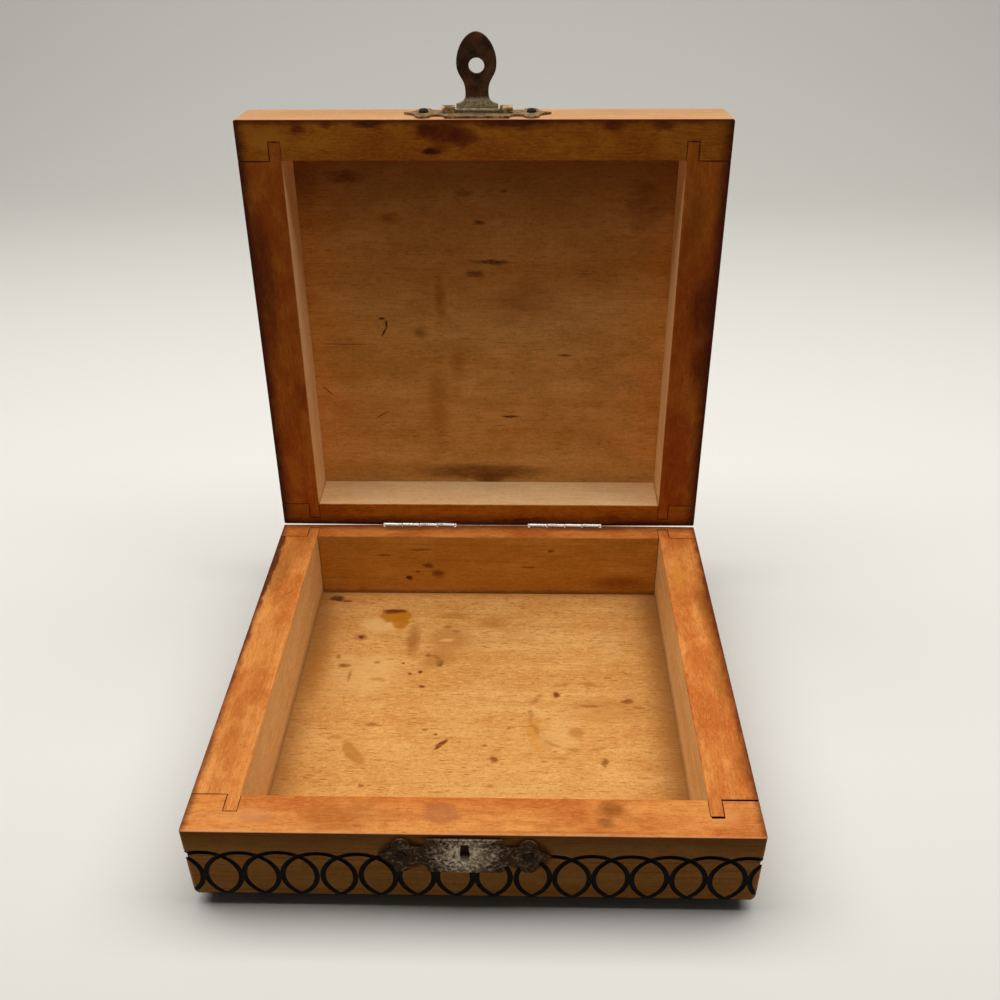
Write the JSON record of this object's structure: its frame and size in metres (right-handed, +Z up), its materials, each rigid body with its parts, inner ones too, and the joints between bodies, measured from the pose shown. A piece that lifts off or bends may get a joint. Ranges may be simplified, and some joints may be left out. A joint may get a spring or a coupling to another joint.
{
  "type": "wooden jewelry box",
  "caption": "Small open wooden jewelry box: tongue-jointed base and lid frames with thin panels, surface hinges on the back, and a hasp that closes over a nib on a nailed catch plate.",
  "frame": {"origin": "middle of the bottom panel's underside, on the surface that the box stands on", "axes": "+Z up, +X to the right seen from the front, the front with the catch plate faces -Y; stored open as pictured"},
  "size_m": [0.15, 0.1689, 0.1952],
  "materials": {
    "base_wood": "orange-stained beech, thin worn varnish",
    "floor_plywood": "bare birch plywood, aged and stained",
    "lid_wood": "brown-stained beech, dark at the edges",
    "lid_plywood": "stained birch plywood",
    "hinge_steel": "bright nickel-plated steel",
    "plate_nickel": "nickel-plated steel with brown patina",
    "hasp_iron": "dark oxidised steel, worn bright at the foot",
    "nail_iron": "dark round-headed steel nails"
  },
  "bodies": {
    "base": {"base_front_wall": "base_wood", "base_back_wall": "base_wood", "base_left_wall": "base_wood", "base_right_wall": "base_wood", "base_bottom_panel": "floor_plywood", "left_hinge_base_leaf": "hinge_steel", "right_hinge_base_leaf": "hinge_steel", "left_hinge_pin": "hinge_steel", "right_hinge_pin": "hinge_steel", "left_hinge_base_nail_1": "nail_iron", "left_hinge_base_nail_2": "nail_iron", "right_hinge_base_nail_1": "nail_iron", "right_hinge_base_nail_2": "nail_iron", "catch_plate": "plate_nickel", "catch_nail_left": "nail_iron", "catch_nail_right": "nail_iron"},
    "lid": {"lid_front_rail": "lid_wood", "lid_back_rail": "lid_wood", "lid_left_rail": "lid_wood", "lid_right_rail": "lid_wood", "lid_top_panel": "lid_plywood", "left_hinge_lid_leaf": "hinge_steel", "right_hinge_lid_leaf": "hinge_steel", "left_hinge_lid_nail_1": "nail_iron", "left_hinge_lid_nail_2": "nail_iron", "right_hinge_lid_nail_1": "nail_iron", "right_hinge_lid_nail_2": "nail_iron", "hasp_plate": "plate_nickel", "hasp_plate_nail_left": "nail_iron", "hasp_plate_nail_right": "nail_iron"},
    "hasp": {"hasp_tongue": "hasp_iron"}
  },
  "joints": [
    {"name": "lid_hinge", "type": "hinge", "parent": "base", "child": "lid", "pos_m": [0, 0.0716, 0.02825], "axis": [-1, 0, 0], "range_deg": [-90.8, 42]},
    {"name": "hasp_hinge", "type": "hinge", "parent": "lid", "child": "hasp", "pos_m": [-0.0018, 0.08007, 0.1728], "axis": [1, 0, 0], "range_deg": [-95, 82]}
  ]
}
